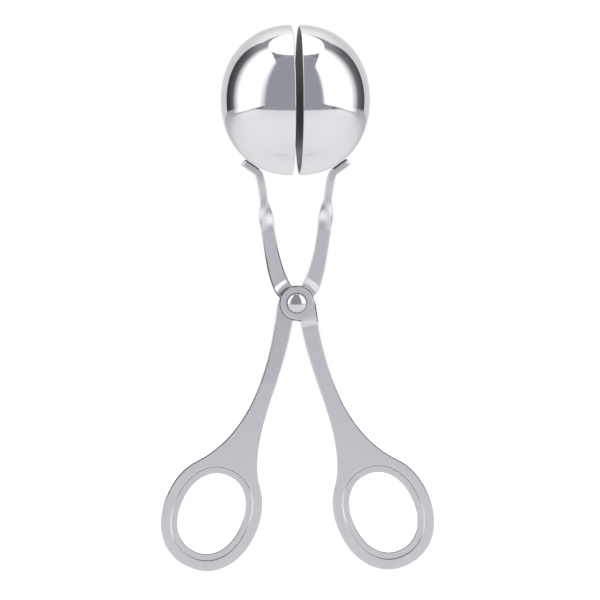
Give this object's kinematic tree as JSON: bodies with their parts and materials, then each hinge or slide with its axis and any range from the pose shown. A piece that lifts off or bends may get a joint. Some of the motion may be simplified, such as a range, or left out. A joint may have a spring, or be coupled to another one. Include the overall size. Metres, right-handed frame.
{
  "type": "meatball scoop",
  "caption": "Scissor-action scoop that shapes meatballs: polished half-ball bowls on crossed stamped steel arms with finger loops, turning on a domed rivet.",
  "frame": {"origin": "midway between the middles of the two finger holes, in the middle plane of the handles, where the hand holds the tool", "axes": "+Z along the tool from the finger loops to the bowls, +Y through the pivot from the rivet's domed head to its tail, +X to the right seen from the domed side"},
  "size_m": [0.0916, 0.05, 0.1819],
  "materials": {
    "satin_steel": "tumbled satin stainless steel",
    "polished_steel": "mirror-polished stainless steel",
    "rivet_steel": "polished stainless steel"
  },
  "bodies": {
    "front_arm": {"front_arm": "satin_steel", "left_bowl": "polished_steel", "pivot_rivet": "rivet_steel"},
    "back_arm": {"back_arm": "satin_steel", "right_bowl": "polished_steel"}
  },
  "joints": [
    {"name": "scissor_pivot", "type": "hinge", "parent": "front_arm", "child": "back_arm", "pos_m": [0, 0, 0.07009], "axis": [0, 1, 0], "range_deg": [-1.36, 60]}
  ]
}
